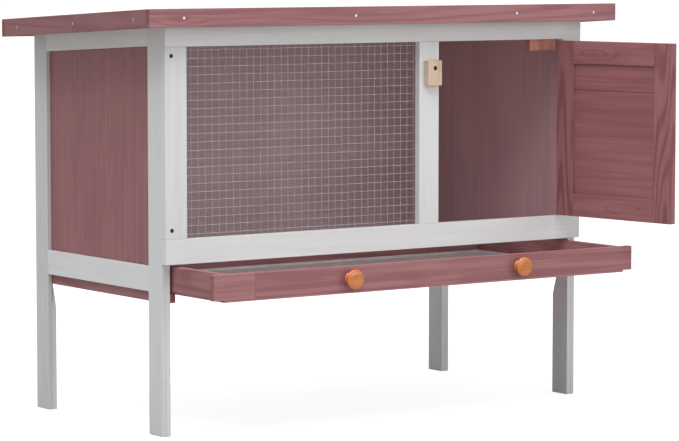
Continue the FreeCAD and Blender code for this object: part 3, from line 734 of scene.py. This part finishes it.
class HUTCH_OT_wire_mesh(bpy.types.Operator):
    """Round welded wires: level ones in front, upright ones behind"""
    bl_idname = "hutch.wire_mesh"
    bl_label = "Wire mesh"

    around = 6
    rings_per_cell = np.array([0.0, 0.09, 0.5, 0.91])   # shares of one pitch
    weld_reach = 1.1 * MM
    sunk_together = 0.8      # wires' distance at a weld, as a share of their diameter

    def wires(self, origin, step, along, count, cells, pitch, radius, swell, bow, random):
        """Tubes: point = start + s along + bow sin(pi k s) + r(s) (cos a u + sin a v), with
        r(s) = radius (1 + swell exp(-(distance to the nearest weld / its reach)^2))."""
        s = (np.arange(cells)[:, None] + self.rings_per_cell[None]).ravel() * pitch
        s = np.append(s, cells * pitch)
        to_weld = np.abs(s - np.round(s / pitch) * pitch)
        thick = radius * (1.0 + swell * np.exp(-(to_weld / self.weld_reach) ** 2))
        u, v = side_directions(along)
        angle = (np.arange(self.around) + 0.5) * math.tau / self.around
        ring = np.cos(angle)[:, None] * u + np.sin(angle)[:, None] * v
        starts = np.asarray(origin)[None] + np.arange(count)[:, None] * np.asarray(step)
        phase = random.uniform(0.0, math.tau, (count, 1))
        sway = bow * np.sin(s[None] / s[-1] * math.tau * 1.5 + phase) * 0.5
        middle = (starts[:, None] + s[None, :, None] * unit(along)
                  + sway[..., None] * unit(step))
        points = middle[:, :, None] + thick[None, :, None, None] * ring[None, None]
        return points, shell_faces(count, len(s), self.around)

    def execute(self, context):
        s = context.scene.hutch_wire
        low, high = (np.array(c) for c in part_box("wire_mesh"))
        columns, rows = (int(round((high - low)[i] / s.pitch)) for i in (0, 2))
        radius = s.thickness / 2.0
        x0 = (low[0] + high[0]) / 2.0 - columns * s.pitch / 2.0
        z0 = (low[2] + high[2]) / 2.0 - rows * s.pitch / 2.0
        front_y = low[1] + radius
        back_y = front_y + s.thickness * self.sunk_together
        if back_y > high[1] + radius:
            raise ValueError("the wires are too thick for the mesh's place in the frame")
        random = np.random.default_rng(11)
        level, level_faces = self.wires(
            (x0, front_y, z0), (0, 0, s.pitch), (1, 0, 0), rows + 1, columns, s.pitch,
            radius, s.swell, s.bow, random)
        upright, upright_faces = self.wires(
            (x0, back_y, z0), (s.pitch, 0, 0), (0, 0, 1), columns + 1, rows, s.pitch,
            radius, s.swell, s.bow, random)
        shift = level.size // 3
        faces = level_faces + [[i + shift for i in face] for face in upright_faces]
        points = np.vstack([level.reshape(-1, 3), upright.reshape(-1, 3)])
        add_piece("wire_mesh_round", points, faces, "cabin", ["wire_mesh"],
                  metal("wire_zinc", s.galvanised, 0.38, metallic=0.75),
                  60.0)
        return {"FINISHED"}


def screw_points(heads, axis, head_radius, head_depth, shank_radius, length, recess, thread,
                 around=24):
    """Countersunk wood screws. Rings run from the middle of the head out over its rim,
    down to the shank and along it. The head's face sinks in a cross: depth times a smooth
    step of (arm half-width - distance to the nearer arm) and of the distance from the rim
    of the recess. The shank's radius is r (1 + h saw(z / pitch - a / turn)), tapering to
    the tip."""
    u, v = side_directions(axis)
    angle = np.arange(around) * math.tau / around
    cos, sin = np.cos(angle), np.sin(angle)
    face = np.linspace(0.06, 0.94, 9) * head_radius
    arm = head_radius * 0.17
    x, y = face[:, None] * cos, face[:, None] * sin
    in_arm = smooth_step((arm - np.minimum(np.abs(x), np.abs(y))) / (arm * 0.6))
    in_circle = smooth_step((head_radius * 0.62 - face[:, None]) / (head_radius * 0.15))
    sunk = recess * head_depth * in_arm * in_circle
    rings = [(sunk, np.repeat(face[:, None], around, 1))]
    rim = np.array([(0.0, 0.985), (0.05, 1.0), (0.18, 1.0), (0.55, 0.78), (1.0, 0.45)])
    rim_radius = np.maximum(rim[:, 1] * head_radius, shank_radius)
    rings.append((np.repeat(rim[:, :1] * head_depth, around, 1),
                  np.repeat(rim_radius[:, None], around, 1)))
    z = np.linspace(head_depth * 1.05, length, 56)
    pitch = shank_radius * 1.15
    saw = np.abs(((z[:, None] / pitch - angle[None] / math.tau) % 1.0) - 0.5) * 2.0
    threaded = smooth_step((z[:, None] - length * 0.30) / (length * 0.04))
    taper = np.clip((length - z[:, None]) / (length * 0.16) + 0.12, 0.0, 1.0)
    body = shank_radius * taper * (1.0 - thread * (1.0 - saw) * threaded)
    rings.append((np.repeat(z[:, None], around, 1), body))
    along = np.vstack([r[0] for r in rings])
    out = np.vstack([r[1] for r in rings])
    local = (along[..., None] * unit(axis)
             + (out * cos)[..., None] * u + (out * sin)[..., None] * v)
    points = np.asarray(heads)[:, None, None] + local[None]
    return points, shell_faces(len(heads), len(along), around)


def measure_pins(node, axis):
    """Head centre, head radius, shank radius and length of each pin-like solid of a node
    that points along axis, measured on its vertices."""
    axis = unit(axis)
    heads, sizes = [], []
    for points in solids_of(node):
        along = points @ axis
        top = along.min()
        u, v = side_directions(axis)
        middle = [(np.min(points @ d) + np.max(points @ d)) / 2.0 for d in (u, v)]
        centre = middle[0] * u + middle[1] * v
        out = np.linalg.norm(points - centre - along[:, None] * axis, axis=1)
        tip = along > along.max() - SAME_END
        heads.append(centre + top * axis)
        sizes.append((out.max(), out[tip].max(), np.ptp(along)))
    return heads, np.median(np.array(sizes), axis=0)


class HUTCH_OT_screws(bpy.types.Operator):
    """Countersunk screws with a driver recess and a thread"""
    bl_idname = "hutch.screws"
    bl_label = "Screws"

    def execute(self, context):
        m = context.scene.hutch_metal
        black = metal("screw_black", m.black_steel, 0.36, metallic=0.6)
        plated = metal("screw_zinc", m.zinc_plate, 0.28)
        turn = joint_open_angle("door_hinge")
        into_door = (-math.sin(turn), math.cos(turn), 0.0)
        into_frame = (0.0, 1.0, 0.0)
        rows = (("front_frame_screws", into_frame, "cabin", 2.0 * MM, black),
                ("turn_button_screw", into_frame, "cabin", 2.2 * MM, black),
                ("hinge_screws_frame", into_frame, "cabin", 1.3 * MM, plated),
                ("hinge_screws_door", into_door, "door", 1.3 * MM, plated),
                ("knob_screws", (0.0, -1.0, 0.0), "tray", 2.0 * MM, plated))
        for node, axis, body, head_depth, material in rows:
            heads, (head_radius, shank_radius, length) = measure_pins(node, axis)
            points, faces = screw_points(heads, axis, head_radius, head_depth, shank_radius,
                                         length, m.recess_depth, m.thread_height)
            add_piece(node + "_threaded", points, faces, body, [node], material)
        return {"FINISHED"}


class HUTCH_OT_nails(bpy.types.Operator):
    """Round nails with low domed heads along the roof's edge boards"""
    bl_idname = "hutch.nails"
    bl_label = "Fascia nails"

    around = 16

    def execute(self, context):
        m = context.scene.hutch_metal
        points = solids_of("fascia_nails")
        every, faces = [], []
        for solid in points:
            low, high = solid.min(0), solid.max(0)
            along = 1 if np.ptp(solid, axis=0)[1] > np.ptp(solid, axis=0)[0] else 0
            middle = (low + high) / 2.0
            inward = np.zeros(3)
            inward[along] = -np.sign(middle[along])
            length = (high - low)[along]
            radius = max((high - low)[2], (high - low)[1 - along]) / 2.0
            head = middle - inward * length / 2.0
            dome = [(0.35 * (r / radius) ** 2 * MM, r)
                    for r in np.linspace(0.08, 0.96, 6) * radius]
            shank = radius * 0.46
            profile = dome + [(0.42 * MM, radius), (0.75 * MM, radius * 0.97),
                              (0.95 * MM, shank), (length - 3.0 * MM, shank),
                              (length, shank * 0.15)]
            rings, quads = turned(profile, [head], inward, self.around)
            shift = sum(len(p) for p in every)
            every.append(rings.reshape(-1, 3))
            faces += [[i + shift for i in face] for face in quads]
        add_piece("fascia_nails_domed", np.vstack(every), faces, "cabin", ["fascia_nails"],
                  metal("nail_bright", m.nail_colour, 0.3))
        return {"FINISHED"}


class HUTCH_OT_knobs(bpy.types.Operator):
    """Two turned and varnished knobs on the tray"""
    bl_idname = "hutch.knobs"
    bl_label = "Tray knobs"

    around = 64

    def execute(self, context):
        s = context.scene.hutch_knobs
        t = context.scene.hutch_timber
        for node in ("tray_knob_left", "tray_knob_right"):
            low, high = (np.array(c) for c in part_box(node))
            depth = (high - low)[1]
            start = np.array([(low[0] + high[0]) / 2.0, high[1], (low[2] + high[2]) / 2.0])
            head = min(s.head_radius, (high - low)[0] / 2.0)
            foot, neck = s.base_radius, s.neck_radius
            rim = depth - s.face_dish
            corners = [(0.0, foot), (0.06 * depth, foot * 1.02), (0.13 * depth, foot * 0.93),
                       (0.27 * depth, neck), (0.40 * depth, neck * 1.06),
                       (0.52 * depth, head * 0.80), (0.64 * depth, head * 0.97),
                       (0.76 * depth, head), (0.88 * depth, head * 0.95),
                       (rim, head * 0.80), (depth, head * 0.62), (depth, head * 0.30)]
            profile = curve_through(corners, 5)
            profile = np.vstack([(0.0, foot * 0.5), profile, (depth, head * 0.06)])
            points, faces = turned(profile, [start], (0.0, -1.0, 0.0), self.around)
            # Pale orange edges: painted highlight on the knob's rim.
            varnish = timber(node + "_varnish", "x", t.varnish_light, t.varnish_dark,
                             (0.35, 0.10, 0.02), 0.8, 0.22, 3.0 if "left" in node else 8.0,
                             knots=0.0, lines=14.0, wear=0.25,
                             wear_colour=(0.95, 0.55, 0.28), coat=0.7)
            add_piece(node + "_turned", points, faces, "tray", [node],
                      varnish, 50.0)
        return {"FINISHED"}


class HUTCH_OT_roof_felt(bpy.types.Operator):
    """Mineral felt laid over the roof boards in low waves"""
    bl_idname = "hutch.roof_felt"
    bl_label = "Roof felt"

    columns, rows = 120, 60
    flat_edge = 30.0 * MM

    def execute(self, context):
        """Top height = the roof's plane - wave (0.5 + 0.25 (sin ax + sin by + cx)), and flat
        at the edges; the underside keeps the roof's plane."""
        s = context.scene.hutch_roof
        points = node_points("roof_felt")
        low, high = points.min(0), points.max(0)
        at_front = points[points[:, 1] < low[1] + SAME_END]
        at_rear = points[points[:, 1] > high[1] - SAME_END]
        front_top, rear_top = at_front[:, 2].max(), at_rear[:, 2].max()
        thickness = front_top - at_front[:, 2].min()
        x = np.linspace(low[0], high[0], self.columns)
        y = np.linspace(low[1], high[1], self.rows)
        gx, gy = np.meshgrid(x, y)
        run = (gy - low[1]) / (high[1] - low[1])
        plane = front_top + (rear_top - front_top) * run
        wave = 0.5 + 0.25 * (np.sin(gx * 23.0 + 1.3 * np.sin(gy * 9.0))
                             + np.sin(gy * 31.0 + gx * 6.0 + 0.8))
        edge = np.minimum.reduce([gx - low[0], high[0] - gx, gy - low[1], high[1] - gy])
        wave *= smooth_step(edge / self.flat_edge)
        top = np.stack([gx, gy, plane - s.felt_wave * wave], -1)
        under = np.stack([gx, gy, plane - thickness], -1)
        count = top.size // 3
        faces = sheet_faces(self.rows, self.columns)
        faces += [[i + count for i in face[::-1]] for face in faces]
        number = np.arange(count).reshape(self.rows, self.columns)
        border = np.concatenate([number[0, :-1], number[:-1, -1], number[-1, :0:-1],
                                 number[:0:-1, 0]])
        after = np.roll(border, -1)
        faces += np.stack([border, border + count, after + count, after], -1).tolist()
        add_piece("roof_felt_laid", np.vstack([top.reshape(-1, 3), under.reshape(-1, 3)]),
                  faces, "cabin", ["roof_felt"], felt_material(s), 30.0)
        return {"FINISHED"}


class HUTCH_OT_tray_liner(bpy.types.Operator):
    """Galvanised sheet in the tray, with low waves and a turned-up edge"""
    bl_idname = "hutch.tray_liner"
    bl_label = "Tray liner"

    bend = 1.5 * MM
    flat_edge = 20.0 * MM
    lift = 0.02 * MM         # over the tray's bottom

    def execute(self, context):
        """A pan: beyond the flat part, a point goes out and up along a quarter circle of
        the bend radius and then straight up, by how far the grid runs past the flat."""
        m = context.scene.hutch_metal
        low, high = (np.array(c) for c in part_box("tray_liner"))
        thick = high[2] - low[2]
        bend = self.bend
        quarter = bend * math.pi / 2.0
        past = np.concatenate([np.linspace(quarter + m.liner_lip - bend, quarter, 3),
                               np.linspace(quarter, 0.0, 5)[1:]])
        inner = [np.linspace(low[i] + bend + thick / 2, high[i] - bend - thick / 2, n)
                 for i, n in ((0, 90), (1, 44))]
        lines = [np.concatenate([line[0] - past, line[1:-1], line[-1] + past[::-1]])
                 for line in inner]
        gx, gy = np.meshgrid(lines[0], lines[1])
        cx = np.clip(gx, inner[0][0], inner[0][-1])
        cy = np.clip(gy, inner[1][0], inner[1][-1])
        ox, oy = gx - cx, gy - cy
        run = np.hypot(ox, oy)
        safe = np.maximum(run, 1e-12)
        turn = np.minimum(run / quarter, 1.0) * math.pi / 2.0
        out = bend * np.sin(turn)
        up = bend * (1.0 - np.cos(turn)) + np.maximum(run - quarter, 0.0)
        wave = np.sin(cx * 17.0 + 2.0 * np.sin(cy * 7.0)) * np.sin(cy * 21.0 + cx * 3.0)
        edge = np.minimum.reduce([cx - inner[0][0], inner[0][-1] - cx, cy - inner[1][0],
                                  inner[1][-1] - cy])
        ripple = m.liner_wave * (0.5 + 0.5 * wave) * smooth_step(edge / self.flat_edge)
        points = np.stack([cx + out * ox / safe, cy + out * oy / safe,
                           low[2] + up + ripple + self.lift], -1)
        liner = add_piece("tray_liner_pan", points, sheet_faces(*gx.shape), "tray",
                          ["tray_liner"],
                          metal("liner_zinc", m.liner_colour, 0.6, spangle=0.2,
                                metallic=0.15), 50.0)
        wall = liner.modifiers.new("thickness", "SOLIDIFY")
        wall.thickness = thick
        wall.offset = 1.0
        return {"FINISHED"}


# ---- panel, registration and the run ----

PIECES = (HUTCH_OT_stage, HUTCH_OT_timber, HUTCH_OT_hinges, HUTCH_OT_wire_mesh,
          HUTCH_OT_screws, HUTCH_OT_nails, HUTCH_OT_knobs, HUTCH_OT_roof_felt,
          HUTCH_OT_tray_liner)
SETTINGS = (("hutch_stage", HutchStageSettings), ("hutch_timber", HutchTimberSettings),
            ("hutch_wire", HutchWireSettings), ("hutch_metal", HutchMetalSettings),
            ("hutch_knobs", HutchKnobSettings), ("hutch_roof", HutchRoofSettings))


class HUTCH_PT_panel(bpy.types.Panel):
    """Buttons and settings for the rabbit hutch"""
    bl_idname = "HUTCH_PT_panel"
    bl_label = "Rabbit hutch"
    bl_space_type = "VIEW_3D"
    bl_region_type = "UI"
    bl_category = "Hutch"

    def draw(self, context):
        for operator in PIECES:
            self.layout.operator(operator.bl_idname)
        for attribute, group in SETTINGS:
            box = self.layout.box()
            for key in group.__annotations__:
                box.prop(getattr(context.scene, attribute), key)


def register():
    for attribute, group in SETTINGS:
        bpy.utils.register_class(group)
        setattr(bpy.types.Scene, attribute, PointerProperty(type=group))
    for operator in PIECES:
        bpy.utils.register_class(operator)
    bpy.utils.register_class(HUTCH_PT_panel)


def unregister():
    bpy.utils.unregister_class(HUTCH_PT_panel)
    for operator in reversed(PIECES):
        bpy.utils.unregister_class(operator)
    for attribute, group in reversed(SETTINGS):
        delattr(bpy.types.Scene, attribute)
        bpy.utils.unregister_class(group)


def main():
    register()
    make_grain_group()
    make_wear_group()
    make_corner_shade_group()
    for operator in PIECES:
        family, name = operator.bl_idname.split(".")
        getattr(getattr(bpy.ops, family), name)()


if __name__ == "__main__":
    main()
